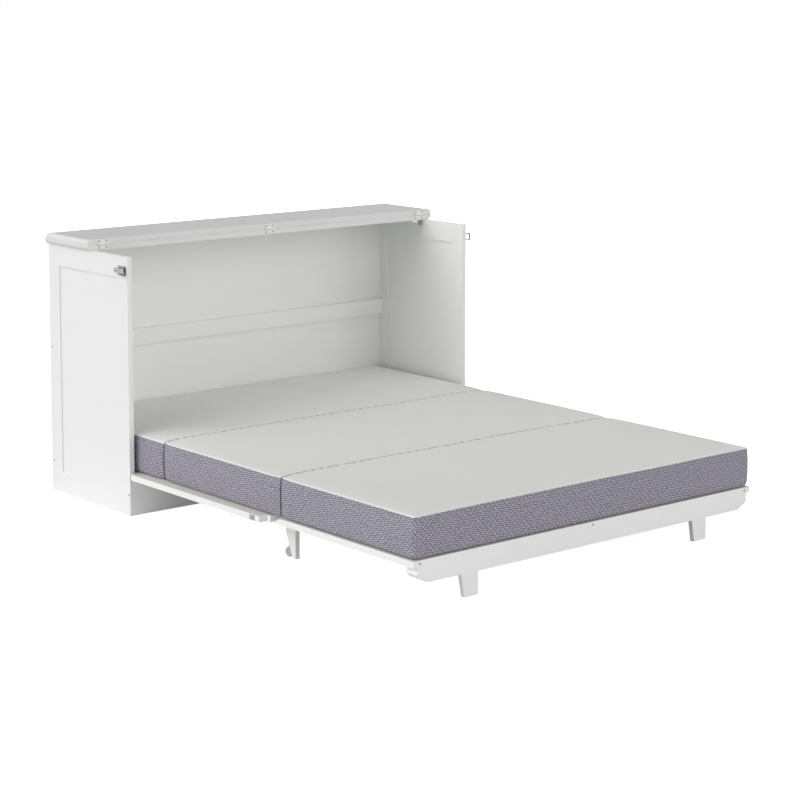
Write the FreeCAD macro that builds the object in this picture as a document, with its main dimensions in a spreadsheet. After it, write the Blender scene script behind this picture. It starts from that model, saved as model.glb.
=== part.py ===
import FreeCAD, Part
import os
import re
import Sketcher

# Cabinet bed: a shaker chest whose front folds down as a platform and whose foot section
# folds out again, with a three-part foam mattress. X runs across, the foot end points to -Y,
# Z is up. Heights and lengths are in millimetres.

doc = FreeCAD.newDocument("CabinetBed")
sheet = doc.addObject("Spreadsheet::Sheet", "Sizes")

DIMENSIONS = [
    # cabinet
    ("cabinet_width", 1597, "over the two side panels"),
    ("cabinet_depth", 533, "side panel, front to back"),
    ("side_height", 931, "side panel"),
    ("side_thickness", 19, "side frame board"),
    ("front_stile", 59, "side frame, front upright"),
    ("rear_stile", 73, "side frame, rear upright"),
    ("frame_rail", 77, "side frame, top and bottom rail"),
    ("field_thickness", 9, "thin panel inside a frame"),
    ("field_tongue", 6, "how far a thin panel sits in its groove"),
    ("groove_play", 0.4, "room for a thin panel in its groove"),
    ("back_thickness", 16, "back panel"),
    ("back_inset", 4, "back panel in from the rear edges"),
    ("nailer_height", 63, "cross rail on the back panel"),
    ("nailer_thickness", 15, "cross rail on the back panel"),
    ("nailer_base", 513, "height of the cross rail's lower edge"),
    ("kick_thickness", 19, "kickboard under the deck"),
    ("cleat_side", 25, "square cleats and deck bearers"),
    ("deck_height", 153, "top of the decks above the floor"),
    ("deck_thickness", 21, "deck boards and platform frames"),
    # lid
    ("lid_thickness", 20.5, "each half of the lid"),
    ("lid_overhang", 15.5, "lid past the side panels at its top face"),
    ("lid_cut", 234, "cut between the lid halves, behind the front"),
    ("lid_front_depth", 290, "front half of the lid"),
    ("lid_gap", 0.4, "between the folded halves"),
    ("bearer_offset", 265, "deck bearers from the centre line"),
    # middle section, which is also the cabinet's front
    ("front_gap", 7, "cabinet front to middle section"),
    ("front_play", 0.3, "closed front in front of the side panels"),
    ("front_reveal", 11.3, "side panels above the closed front"),
    ("door_stile", 76, "uprights and rails of the front frame"),
    ("door_mullion", 64, "uprights between the front's fields"),
    ("door_recess", 4, "front fields back from the frame"),
    # foot section
    ("foot_inset", 31, "foot section in from the cabinet's sides"),
    ("fold_gap", 2, "between the middle and foot sections"),
    ("foot_length", 744, "foot section, hinge beam to end rail"),
    ("rail_thickness", 19, "rails of the foot section"),
    ("beam_width", 18, "hinge beam of the foot section"),
    ("rail_start", 30, "foot rails start behind the fold, below"),
    ("rail_slant", 38, "lean of the foot rails' cut ends"),
    ("board_thickness", 9, "thin deck boards of the foot section"),
    ("board_count", 4, "thin deck boards of the foot section"),
    ("board_gap", 24, "slot between the foot section's deck boards"),
    ("apron_height", 53, "foot apron below the end rail"),
    ("apron_thickness", 6, "foot apron board"),
    ("apron_return", 52, "moulded ends of the apron, front to back"),
    ("apron_inset", 15, "apron's ends in from the foot section"),
    ("apron_step", 44, "moulded end of the apron, across"),
    # legs
    ("leg_thickness", 17.4, "all four legs"),
    ("leg_foot_width", 57, "foot leg at the floor"),
    ("leg_taper", 22, "foot leg, slope of its left edge"),
    ("leg_inset", 243.5, "foot legs' centres in from the foot section's sides"),
    ("leg_setback", 1, "foot legs behind the apron"),
    ("leg_drop", 0.5, "foot legs below the frame"),
    ("knee_setback", 1, "middle legs behind the fold"),
    ("middle_leg_inset", 84.5, "middle legs in from the foot section's sides"),
    ("middle_leg_top", 55, "middle leg at the platform"),
    ("middle_leg_base", 16, "middle leg at the floor"),
    ("middle_leg_knee", 91, "height where the leg starts to taper"),
    ("wheel_radius", 16.5, "small wheel behind a middle leg"),
    ("wheel_width", 13, "small wheel"),
    ("wheel_height", 17, "wheel's centre above the floor"),
    ("wheel_reach", 29, "wheel's centre in front of the leg's foot edge"),
    ("tyre_bevel", 2, "edges of a wheel"),
    ("fork_height", 44, "top of the wheel's bracket"),
    ("fork_base", 9.5, "underside of the wheel's bracket"),
    ("wheel_play", 1.5, "around a wheel in its bracket"),
    ("wheel_side_play", 0.4, "beside a wheel in its bracket"),
    ("axle_radius", 3, "wheel axle"),
    ("running_play", 0.06, "around a pin or an axle"),
    # hinges
    ("hinge_width", 76, "butt hinge along its pin"),
    ("leg_hinge_width", 48, "hinge behind a foot leg"),
    ("leaf_thickness", 1.2, "hinge leaf"),
    ("leaf_length", 16.5, "lid hinge leaf away from its pin"),
    ("lid_hinge_width", 46, "lid hinge along its pin"),
    ("lid_pin_reach", 1.4, "lid hinge pins in front of the cut"),
    ("leaf_drop", 1, "front hinge leaves above the deck's underside"),
    ("strap_length", 30, "leaf of the platform hinges"),
    ("pin_radius", 3, "hinge barrel"),
    ("wire_radius", 1.4, "pin inside a barrel"),
    ("hinge_inset", 48, "outer lid hinges in from the lid's ends"),
    ("platform_hinge_inset", 160, "outer platform hinges in from the foot section's sides"),
    ("barrel_play", 0.3, "room around a hinge barrel"),
    ("barrel_seat", 0.1, "between a barrel and the wood it lies along"),
    # latches
    ("latch_drop", 49, "toggle latches below the top of the side panels"),
    ("latch_width", 34, "latch base, up and down"),
    ("latch_length", 52, "latch base, front to back"),
    ("latch_pivot", 18, "lever's pin behind the front edge"),
    ("latch_stand", 8, "lever's pin out from the panel"),
    ("bail_reach", 38, "latch loop from its pin"),
    ("bail_wire", 1.5, "radius of the latch's pins"),
    ("bail_strip", 3.6, "square strip of the latch loop"),
    ("keeper_length", 28, "keeper plate on the front"),
    ("hook_reach", 6, "keeper's hook out from the front's edge"),
    ("hook_height", 4.5, "keeper's hook, root to tip"),
    ("hook_setback", 6, "keeper's hook below the deck's surface"),
    ("hook_width", 8, "keeper's hook"),
    ("latch_plate", 1.5, "sheet metal of the latches"),
    ("latch_setback", 10, "latch base in front of its pin"),
    ("ear_width", 8, "ears of the latch base"),
    ("ear_height", 10, "ears of the latch base, out from the panel"),
    ("lever_rim", 3, "lever's metal around its pins"),
    ("lever_reach", 50, "lever behind its pin"),
    ("lever_width", 16, "lever, up and down"),
    ("bail_offset", 12, "loop's pin behind the lever's pin"),
    ("bail_stand", 12, "loop out from the panel"),
    ("bail_width", 24, "loop between its wires' middles"),
    # fasteners
    ("bolt_head", 4.5, "radius of the bolts' caps"),
    ("bolt_rise", 1.5, "bolt caps above the wood"),
    ("bolt_inset", 9, "front bolt in from a side panel's edge"),
    ("bolt_rear_inset", 14, "rear bolts in from a side panel's edge"),
    ("bolt_end_inset", 27, "outer foot bolts in from the foot section's sides"),
    ("bolt_base_height", 76, "lower front bolt in the side panels"),
    ("bolt_rear_base_height", 114, "lower rear bolt in the side panels"),
    ("screw_head", 3, "deck screws"),
    ("screw_rise", 0.3, "deck screws above the deck"),
    ("screw_inset", 31, "deck screws in from the platform's sides"),
    ("screw_setback", 98, "deck screws in from the middle section's ends"),
    ("bracket_side", 25, "corner brackets under the lid"),
    ("bracket_thickness", 2, "corner brackets"),
    ("stop_width", 26, "white stop under the fixed half of the lid"),
    ("stop_height", 9, "white stop below the lid"),
    ("stop_depth", 14, "white stop, front to back"),
    ("stop_inset", 64.5, "stop's middle in from a side panel's outer face"),
    # mattress
    ("mattress_side_room", 17.5, "foam in from the side panels"),
    ("mattress_height", 150, "foam mattress at its crown"),
    ("mattress_crown", 9, "rise of the top towards the middle"),
    ("head_seam", 156.4, "seam of the head section in front of the cabinet"),
    ("fold_seam", 64, "seam of the foot section beyond the platform's fold"),
    ("foam_setback", 4, "foam in from the foot section's end"),
    ("mattress_play", 0.4, "around the foam"),
    ("dent_play", 1, "foam clear of the fold's hinges"),
    ("seam_draw", 5, "sides drawn in at the seams"),
    ("foam_corner", 14, "rounding of the foam's edges"),
]

# places that follow from the driving sizes, as expressions
DERIVED = {
    "half_width": "cabinet_width / 2",
    "inner_half": "cabinet_width / 2 - side_thickness",
    "wall_front": "cabinet_depth - back_inset - back_thickness",
    "deck_base": "deck_height - deck_thickness",
    "lid_half": "cabinet_width / 2 + lid_overhang",
    "lid_pin_height": "side_height + lid_thickness + lid_gap / 2",
    "lid_pin_place": "lid_cut - lid_pin_reach",
    "door_pin_height": "deck_height - front_gap / 2 + front_play",
    "latch_height": "side_height - latch_drop",
    "middle_length": "side_height - front_reveal - door_pin_height - front_gap / 2",
    "middle_end": "front_gap + middle_length",
    "fold_place": "front_gap + middle_length + fold_gap / 2",
    "fold_height": "deck_height + pin_radius + barrel_play",
    "foot_start": "front_gap + middle_length + fold_gap",
    "foot_end": "front_gap + middle_length + fold_gap + foot_length",
    "foot_half": "half_width - foot_inset",
    "leg_place": "foot_half - leg_inset",
    "middle_leg_offset": "foot_half - middle_leg_inset",
    "leg_face": "foot_end - apron_thickness - leg_setback",
    "leg_back": "foot_end - apron_thickness - leg_setback - leg_thickness",
    "leg_pin_height": "deck_base - pin_radius - barrel_seat",
    "leg_pin_place": "leg_back - pin_radius - barrel_seat",
    "knee_edge": "foot_start + knee_setback",
    "leg_edge": "foot_start + middle_leg_top",
    "wheel_place": "foot_start + middle_leg_top - middle_leg_base - wheel_reach",
    "keeper_place": "front_gap / 2 + latch_height - door_pin_height",
    "front_shift": "(foot_end + bolt_rise - cabinet_depth) / 2",
    "mattress_width": "2 * (inner_half - mattress_side_room)",
    "head_section": "wall_front - mattress_play + head_seam",
    "middle_section": "fold_place + fold_seam - head_seam",
    "foot_section": "foot_end - foam_setback - fold_place - fold_seam",
}

for row, (alias, size, note) in enumerate(DIMENSIONS, start=1):
    sheet.set(f"A{row}", note)
    sheet.set(f"B{row}", str(size))
    sheet.setAlias(f"B{row}", alias)
for row, (alias, formula) in enumerate(DERIVED.items(), start=len(DIMENSIONS) + 1):
    sheet.set(f"A{row}", formula)
    sheet.setAlias(f"B{row}", alias)
for row, formula in enumerate(DERIVED.values(), start=len(DIMENSIONS) + 1):
    sheet.set(f"B{row}", "=" + formula)
doc.recompute()


def expr(text):
    """Turns a formula of size names into an expression on the spreadsheet."""
    return re.sub(r"([a-z]+_[a-z_]+)", r"Sizes.\1", str(text))


def size(alias):
    return float(sheet.get(alias))


# ---- ways to make a sub-part -------------------------------------------------------------

finished = {}


def finish(label, item):
    """Names a sub-part and keeps it for the export."""
    item.Label = label
    finished[label] = item
    return item


def bind(item, **formulas):
    for name, formula in formulas.items():
        item.setExpression(name.replace("_", "."), expr(formula))


def board(name, low, high):
    """A plain board between two corners, given as (x, y, z) formulas with y behind the front."""
    item = doc.addObject("Part::Box", name)
    bind(item, Length=f"({high[0]}) - ({low[0]})", Width=f"({high[1]}) - ({low[1]})",
         Height=f"({high[2]}) - ({low[2]})", Placement_Base_x=low[0],
         Placement_Base_y=f"({low[1]}) + front_shift", Placement_Base_z=low[2])
    return item


def rod(name, radius, start, length, along):
    """A round pin from a start point along the X, Y or Z axis."""
    turn = {"x": FreeCAD.Rotation(FreeCAD.Vector(0, 1, 0), 90),
            "y": FreeCAD.Rotation(FreeCAD.Vector(1, 0, 0), -90),
            "z": FreeCAD.Rotation()}[along]
    item = doc.addObject("Part::Cylinder", name)
    item.Placement = FreeCAD.Placement(FreeCAD.Vector(), turn)
    bind(item, Radius=radius, Height=length, Placement_Base_x=start[0],
         Placement_Base_y=f"({start[1]}) + front_shift", Placement_Base_z=start[2])
    return item


def together(name, items):
    """Fuses touching items into one solid, or groups separate ones in one sub-part."""
    item = doc.addObject("Part::MultiFuse", name)
    item.Shapes = items
    item.Refine = True
    return item


def without(name, base, tools):
    """Cuts one or more tools out of a base."""
    item = doc.addObject("Part::Cut", name)
    item.Base = base
    item.Tool = tools[0] if len(tools) == 1 else together(name + "_tools", tools)
    return item


def new_body(name):
    item = doc.addObject("PartDesign::Body", name)
    bind(item, Placement_Base_y="front_shift")
    return item


def origin_plane(item, role):
    return [feature for feature in item.Origin.OriginFeatures if feature.Role == role][0]


def outline(item, role, offset, loops):
    """A sketch of closed straight-sided loops whose corners are pairs of formulas."""
    sketch = item.newObject("Sketcher::SketchObject", item.Name + "_outline")
    sketch.AttachmentSupport = [(origin_plane(item, role), "")]
    sketch.MapMode = "FlatFace"
    sketch.setExpression(".AttachmentOffset.Base.z", expr(offset))
    for loop, corners in enumerate(loops):
        first = sketch.GeometryCount
        count = len(corners)
        spin = [FreeCAD.Rotation(FreeCAD.Vector(0, 0, 1), 360 * k / count) for k in range(count)]
        spots = [turn.multVec(FreeCAD.Vector(100 + 30 * loop, 0, 0)) for turn in spin]
        for k in range(count):
            sketch.addGeometry(Part.LineSegment(spots[k], spots[(k + 1) % count]), False)
        for k in range(count):
            following = first + (k + 1) % count
            sketch.addConstraint(Sketcher.Constraint("Coincident", first + k, 2, following, 1))
        for k, (across, up) in enumerate(corners):
            for kind, formula, spot in (("DistanceX", across, spots[k].x),
                                        ("DistanceY", up, spots[k].y)):
                index = sketch.addConstraint(
                    Sketcher.Constraint(kind, -1, 1, first + k, 1, spot))
                sketch.setExpression(f"Constraints[{index}]", expr(formula))
    return sketch


def pad(item, sketch, length, backwards=False):
    feature = item.newObject("PartDesign::Pad", item.Name + "_pad")
    feature.Profile = sketch
    bind(feature, Length=length)
    feature.Reversed = backwards
    sketch.Visibility = False
    return feature


def profile_board(name, role, offset, corners, length, backwards=False, holes=()):
    """A board cut to a shaped outline."""
    item = new_body(name)
    pad(item, outline(item, role, offset, [corners, *holes]), length, backwards)
    return item


def rectangle(left, low, right, high):
    return [(left, low), (right, low), (right, high), (left, high)]


def revolved(name, profile, start, along):
    """A turned piece: a profile of (distance, radius) formulas spun about its own axis."""
    item = doc.addObject("PartDesign::Body", name)
    turn = {"x": FreeCAD.Rotation(FreeCAD.Vector(0, 1, 0), 90),
            "-x": FreeCAD.Rotation(FreeCAD.Vector(0, 1, 0), -90),
            "-y": FreeCAD.Rotation(FreeCAD.Vector(1, 0, 0), 90)}[along]
    item.Placement = FreeCAD.Placement(FreeCAD.Vector(), turn)
    bind(item, Placement_Base_x=start[0], Placement_Base_z=start[2],
         Placement_Base_y=f"({start[1]}) + front_shift")
    corners = [(radius, distance) for distance, radius in profile]
    sketch = outline(item, "XZ_Plane", "0", [corners])
    feature = item.newObject("PartDesign::Revolution", name + "_turned")
    feature.Profile = sketch
    feature.ReferenceAxis = (sketch, ["V_Axis"])
    feature.Angle = 360
    sketch.Visibility = False
    return item


def mirrored(name, item):
    """The same piece on the other side of the centre line."""
    other = doc.addObject("Part::Mirroring", name)
    other.Source = item
    other.Normal = FreeCAD.Vector(1, 0, 0)
    other.Base = FreeCAD.Vector(0, 0, 0)
    return other


# ---- where the bolt caps and deck screws sit ------------------------------------------------

SIDE_BOLTS = (("rear_low", "cabinet_depth - bolt_rear_inset", "bolt_rear_base_height"),
              ("rear_high", "cabinet_depth - bolt_rear_inset",
               "nailer_base + nailer_height / 2"),
              ("front", "bolt_inset", "bolt_base_height"))
FOOT_BOLTS = (("left", "-foot_half + bolt_end_inset"), ("middle", "0"),
              ("right", "foot_half - bolt_end_inset"))
DECK_SCREWS = [(f"{side}_{row}", across, behind)
               for side, across in (("left", "-half_width + screw_inset"),
                                    ("right", "half_width - screw_inset"))
               for row, behind in (("head", "-front_gap - screw_setback"),
                                   ("foot", "-middle_end + screw_setback"))]

# ---- side panels: shaker frames with a thin field in a groove ------------------------------

def side_frame(name, left, right):
    """Stiles and rails as one frame, with a groove for the field."""
    opening = rectangle("front_stile", "frame_rail", "cabinet_depth - rear_stile",
                        "side_height - frame_rail")
    frame = profile_board(name + "_boards", "YZ_Plane", left,
                          rectangle("0", "0", "cabinet_depth", "side_height"),
                          "side_thickness", holes=[opening])
    groove = board(name + "_groove",
                   (f"{left} + (side_thickness - field_thickness) / 2 - groove_play / 2",
                    "front_stile - field_tongue", "frame_rail - field_tongue"),
                   (f"{right} - (side_thickness - field_thickness) / 2 + groove_play / 2",
                    "cabinet_depth - rear_stile + field_tongue",
                    "side_height - frame_rail + field_tongue"))
    return without(name + "_grooved", frame, [groove])


def side_field(name, left, right):
    """The thin recessed panel, tongued into its frame."""
    return board(name, (f"{left} + (side_thickness - field_thickness) / 2",
                        "front_stile - field_tongue + groove_play",
                        "frame_rail - field_tongue + groove_play"),
                 (f"{right} - (side_thickness - field_thickness) / 2",
                  "cabinet_depth - rear_stile + field_tongue - groove_play",
                  "side_height - frame_rail + field_tongue - groove_play"))


for side, left, right in (("left", "-half_width", "-inner_half"),
                          ("right", "inner_half", "half_width")):
    finish(f"{side}_side_frame", side_frame(f"{side}_side", left, right))
    finish(f"{side}_side_field", side_field(f"{side}_field", left, right))

# ---- back, cross rail, kickboard and the deck that carries the head section ----------------

finish("back_panel", board("back", ("-inner_half", "wall_front", "0"),
                           ("inner_half", "wall_front + back_thickness", "side_height")))
finish("back_cross_rail", board(
    "nailer", ("-inner_half", "wall_front - nailer_thickness", "nailer_base"),
    ("inner_half", "wall_front", "nailer_base + nailer_height")))
finish("kickboard", board("kick", ("-inner_half", "0", "0"),
                          ("inner_half", "kick_thickness", "deck_base")))
finish("head_deck", board("deck", ("-inner_half", "0", "deck_base"),
                          ("inner_half", "wall_front", "deck_height")))

side_cleats = [
    board(f"cleat_{side}", (low, "kick_thickness", "deck_base - cleat_side"),
          (high, "wall_front", "deck_base"))
    for side, low, high in (("left", "-inner_half", "-inner_half + cleat_side"),
                            ("right", "inner_half - cleat_side", "inner_half"))]
finish("deck_cleats", together("cleats", side_cleats))

bearers = [
    board(f"bearer_{side}", (f"{sign}bearer_offset - cleat_side / 2", "kick_thickness", "0"),
          (f"{sign}bearer_offset + cleat_side / 2", "wall_front", "deck_base"))
    for side, sign in (("left", "-"), ("right", ""))]
finish("deck_bearers", together("deck_bearer_group", bearers))

# ---- lid: two moulded boards, the front one folded back on the rear one ---------------------

def rounded_over(item, base, radius, is_worn):
    """Rounds the edges of a body whose middles pass a test."""
    doc.recompute()
    fillet = item.newObject("PartDesign::Fillet", item.Name + "_rounded")
    fillet.Base = (base, [f"Edge{k}" for k, edge in enumerate(base.Shape.Edges, start=1)
                          if is_worn(edge.CenterOfMass)])
    bind(fillet, Radius=radius)


def hinge_places():
    """Middles of the three lid hinges, across the lid."""
    outer = "half_width - hinge_inset"
    return (("left", f"-({outer})"), ("middle", "0"), ("right", outer))


def lid_board(name, upside, depth):
    """A lid half from the cut backwards, rounded over at its ends, with notched hinges."""
    near, far = (("lid_gap / 2", "(lid_gap / 2 + lid_thickness)") if upside
                 else ("-(lid_gap / 2 + lid_thickness)", "-lid_gap / 2"))
    item = new_body(name + "_blank")
    sketch = outline(item, "XZ_Plane", "-lid_cut",
                     [rectangle("-lid_half", f"lid_pin_height + {near}", "lid_half",
                                f"lid_pin_height + {far}")])
    blank = pad(item, sketch, depth, True)
    worn_height = size("side_height") + (2 * size("lid_thickness") + size("lid_gap")
                                         if upside else 0)
    back = size("cabinet_depth") if not upside else size("lid_cut") + 2 * size("lid_front_depth")
    rounded_over(item, blank, "lid_overhang",
                 lambda spot: (abs(spot.z - worn_height) < 0.1
                               and size("lid_cut") + 1 < spot.y < back - 1))
    notches = [board(f"{name}_notch_{k}",
                     (f"{place} - lid_hinge_width / 2 - barrel_play",
                      "lid_pin_place - pin_radius - barrel_play",
                      "lid_pin_height - pin_radius - barrel_play"),
                     (f"{place} + lid_hinge_width / 2 + barrel_play",
                      "lid_pin_place + pin_radius + barrel_play",
                      "lid_pin_height + pin_radius + barrel_play"))
               for k, (side, place) in enumerate(hinge_places())]
    return without(name + "_notched", item, notches)


finish("rear_lid", lid_board("rear_lid_half", False, "cabinet_depth - lid_cut"))
finish("front_lid", lid_board("front_lid_half", True, "lid_front_depth"))

# a white stop under the fixed half, just inside the right side panel
finish("lid_stop", board("stop", ("half_width - stop_inset - stop_width / 2",
                                  "lid_cut + leaf_thickness", "side_height - stop_height"),
                         ("half_width - stop_inset + stop_width / 2",
                          "lid_cut + leaf_thickness + stop_depth", "side_height")))

# ---- butt hinges -------------------------------------------------------------------------
# Each barrel has three knuckles: two on one leaf and one on the other, on a pin of wire.

KNUCKLES = 3


def hinge_half(name, place, pin_place, pin_height, leaf_low, leaf_high, knuckles, pin=False,
               width="hinge_width"):
    """A leaf with its knuckles, bored for the pin, or filled by it where it holds the pin."""
    barrels = [rod(f"{name}_knuckle_{k}", "pin_radius",
                   (f"{place} - {width} / 2 + {width} * {k} / {KNUCKLES}"
                    " + running_play", pin_place, pin_height),
                   f"{width} / {KNUCKLES} - 2 * running_play", "x") for k in knuckles]
    gaps = [board(f"{name}_space_{k}",
                  (f"{place} - {width} / 2 + {width} * {k} / {KNUCKLES} - running_play",
                   f"{pin_place} - pin_radius - barrel_play", f"{pin_height} - pin_radius - barrel_play"),
                  (f"{place} - {width} / 2 + {width} * {k + 1} / {KNUCKLES} + running_play",
                   f"{pin_place} + pin_radius + barrel_play", f"{pin_height} + pin_radius + barrel_play"))
            for k in range(KNUCKLES) if k not in knuckles]
    leaf = board(name + "_leaf", (f"{place} - {width} / 2", *leaf_low),
                 (f"{place} + {width} / 2", *leaf_high))
    cleared = without(name + "_cleared", leaf, gaps)
    solid = together(name + "_solid", [cleared, *barrels])
    wire = (f"{place} - {width} / 2", pin_place, pin_height)
    if pin:
        return together(name + "_pinned",
                        [solid, rod(name + "_pin", "wire_radius", wire, width, "x")])
    return without(name + "_bored", solid,
                   [rod(name + "_bore", "wire_radius + running_play", wire, width,
                        "x")])


def hinge_row(name, places, pin_place, pin_height, leaf_low, leaf_high, knuckles, pin=False,
              width="hinge_width"):
    """The same hinge half at each place, as one sub-part."""
    halves = [hinge_half(f"{name}_{side}", place, pin_place, pin_height, leaf_low, leaf_high,
                         knuckles, pin, width) for side, place in places]
    return halves[0] if len(halves) == 1 else together(name, halves)


def platform_places():
    outer = "foot_half - platform_hinge_inset"
    return (("left", f"-({outer})"), ("middle", "0"), ("right", outer))


finish("lid_hinge_rear_leaves", hinge_row(
    "lid_rear_leaves", hinge_places(), "lid_pin_place", "lid_pin_height",
    ("lid_cut - leaf_thickness", "lid_pin_height - leaf_length"),
    ("lid_cut", "lid_pin_height"), (0, 2), pin=True, width="lid_hinge_width"))
finish("lid_hinge_front_leaves", hinge_row(
    "lid_front_leaves", hinge_places(), "lid_pin_place", "lid_pin_height",
    ("lid_cut - leaf_thickness", "lid_pin_height"),
    ("lid_cut", "lid_pin_height + leaf_length"), (1,), width="lid_hinge_width"))

finish("front_hinge_cabinet_leaves", hinge_row(
    "cabinet_leaves", platform_places(), "-front_gap / 2", "door_pin_height",
    ("-leaf_thickness", "deck_base + leaf_drop"), ("0", "door_pin_height"),
    (0, 2), pin=True))
finish("front_hinge_platform_leaves", hinge_row(
    "platform_leaves", platform_places(), "-front_gap / 2", "door_pin_height",
    ("-front_gap", "deck_base + leaf_drop"), ("-front_gap + leaf_thickness", "door_pin_height"),
    (1,)))

finish("fold_hinge_middle_leaves", hinge_row(
    "fold_middle_leaves", platform_places(), "-fold_place", "fold_height",
    ("-fold_place", "deck_height"),
    ("-fold_place + strap_length", "deck_height + leaf_thickness"), (0, 2), pin=True))
finish("fold_hinge_foot_leaves", hinge_row(
    "fold_foot_leaves", platform_places(), "-fold_place", "fold_height",
    ("-fold_place - strap_length", "deck_height"),
    ("-fold_place", "deck_height + leaf_thickness"), (1,)))


# ---- corner brackets under the fixed half of the lid ----------------------------------------

def corner_bracket(name, behind):
    """An L of sheet metal between a side panel and the lid."""
    corners = [("inner_half", "side_height"), ("inner_half", "side_height - bracket_side"),
               ("inner_half - bracket_thickness", "side_height - bracket_side"),
               ("inner_half - bracket_thickness", "side_height - bracket_thickness"),
               ("inner_half - bracket_side", "side_height - bracket_thickness"),
               ("inner_half - bracket_side", "side_height")]
    return profile_board(name, "XZ_Plane", f"-({behind})", corners, "bracket_side",
                         backwards=True)


brackets = []
for place, behind in (("front", "lid_cut + bolt_inset"),
                      ("rear", "wall_front - 2 * bracket_side")):
    bracket = corner_bracket(f"bracket_{place}", behind)
    brackets += [bracket, mirrored(f"bracket_{place}_left", bracket)]
finish("lid_brackets", together("bracket_group", brackets))

# ---- middle section: the platform's first part and the front of the closed chest ------------

def front_fields():
    """Left edges and right edges of the three openings in the front frame."""
    width = "((2 * half_width - 2 * door_stile - 2 * door_mullion) / 3)"
    starts = [f"-half_width + door_stile + {k} * ({width} + door_mullion)" for k in range(3)]
    return [(start, f"{start} + {width}") for start in starts]


frame_end = "-middle_end + door_stile"
frame_start = "-front_gap - door_stile"
front_openings = [rectangle(low, frame_end, high, frame_start) for low, high in front_fields()]
front_blank = profile_board("front_boards", "XY_Plane", "deck_base",
                            rectangle("-half_width", "-middle_end", "half_width",
                                      "-front_gap"), "deck_thickness", holes=front_openings)
field_base = "deck_base + door_recess"
field_top = "deck_base + door_recess + field_thickness"
front_grooves = [
    board(f"front_groove_{k}",
          (f"{low} - field_tongue", f"{frame_end} - field_tongue",
           f"{field_base} - groove_play / 2"),
          (f"{high} + field_tongue", f"{frame_start} + field_tongue",
           f"{field_top} + groove_play / 2"))
    for k, (low, high) in enumerate(front_fields())]
finish("front_frame", without("front_grooved", front_blank, front_grooves))
finish("front_fields", together("front_field_group", [
    board(f"front_field_{k}",
          (f"{low} - field_tongue + groove_play", f"{frame_end} - field_tongue + groove_play",
           field_base),
          (f"{high} + field_tongue - groove_play",
           f"{frame_start} + field_tongue - groove_play", field_top))
    for k, (low, high) in enumerate(front_fields())]))
finish("middle_deck_boards", together("middle_deck_group", [
    board(f"middle_deck_{k}",
          (f"{low} + groove_play", f"{frame_end} + groove_play",
           f"{field_top} + groove_play / 2"),
          (f"{high} - groove_play", f"{frame_start} - groove_play", "deck_height"))
    for k, (low, high) in enumerate(front_fields())]))

# ---- foot section: two cut-off rails, an end rail, a hinge beam and slatted boards -----------

rail_corners = [("-foot_start - rail_start", "deck_base"),
                ("-foot_start - rail_start - rail_slant", "deck_height"),
                ("-foot_end + rail_thickness", "deck_height"),
                ("-foot_end + rail_thickness", "deck_base")]
foot_rail_left = profile_board("foot_rail_l", "YZ_Plane", "-foot_half", rail_corners,
                               "rail_thickness")
finish("foot_rail_left", foot_rail_left)
finish("foot_rail_right", profile_board("foot_rail_r", "YZ_Plane",
                                        "foot_half - rail_thickness", rail_corners,
                                        "rail_thickness"))
finish("foot_end_rail", board("end_board", ("-foot_half", "-foot_end", "deck_base"),
                              ("foot_half", "-foot_end + rail_thickness", "deck_height")))
finish("foot_hinge_beam", board("beam", ("-foot_half", "-foot_start - beam_width",
                                         "deck_base"),
                                ("foot_half", "-foot_start", "deck_height")))
stringers = [
    board(f"stringer_{k}", (f"{place} - cleat_side / 2", "-foot_end + rail_thickness",
                            "deck_base"),
          (f"{place} + cleat_side / 2", "-foot_start - beam_width",
           "deck_height - board_thickness"))
    for k, place in enumerate(("-middle_leg_offset", "-middle_leg_offset / 3",
                               "middle_leg_offset / 3", "middle_leg_offset"))]
finish("foot_stringers", together("stringer_group", stringers))

BOARDS = int(size("board_count"))
slat_start = "(foot_start + rail_start + rail_slant)"
slat_length = (f"((foot_end - rail_thickness - {slat_start} - (board_count - 1) * board_gap)"
               " / board_count)")
slats = [
    board(f"slat_{k}",
          ("-foot_half + rail_thickness",
           f"-{slat_start} - {k} * ({slat_length} + board_gap) - {slat_length}",
           "deck_height - board_thickness"),
          ("foot_half - rail_thickness",
           f"-{slat_start} - {k} * ({slat_length} + board_gap)", "deck_height"))
    for k in range(BOARDS)]
finish("foot_deck_boards", together("slat_group", slats))

# apron: a thin board whose ends step in twice towards the floor, with returns behind it
apron_low = "deck_base - apron_height"
APRON_END = ((0, 1), (0.09, 0.72), (0, 0.55), (0.32, 0.26), (0.55, 0.26), (0.73, 0.12), (1, 0))
apron_side = [(f"foot_half - apron_inset - {inward} * apron_step",
               f"{apron_low} + {up} * apron_height") for inward, up in APRON_END]
apron_corners = [*apron_side, *[(f"-({across})", up) for across, up in reversed(apron_side)]]
apron_board = profile_board("apron_front", "XZ_Plane", "foot_end", apron_corners,
                            "apron_thickness", backwards=True)
return_inner = "foot_half - apron_inset - apron_step - apron_thickness"
return_corners = [*apron_side, (return_inner, apron_low), (return_inner, "deck_base")]
apron_end = profile_board("apron_end", "XZ_Plane", "foot_end - apron_thickness",
                          return_corners, "apron_return - apron_thickness", backwards=True)
finish("foot_apron", apron_board)
finish("apron_returns", together("return_group", [apron_end,
                                                  mirrored("apron_end_left", apron_end)]))

# ---- legs --------------------------------------------------------------------------------

middle_leg = profile_board(
    "middle_leg", "YZ_Plane", "middle_leg_offset - leg_thickness / 2",
    [("-leg_edge", "0"), ("-leg_edge + middle_leg_base", "0"),
     ("-knee_edge", "middle_leg_knee"), ("-knee_edge", "deck_base"),
     ("-leg_edge", "deck_base")], "leg_thickness")
finish("middle_leg_right", middle_leg)
finish("middle_leg_left", mirrored("middle_leg_l", middle_leg))


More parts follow.
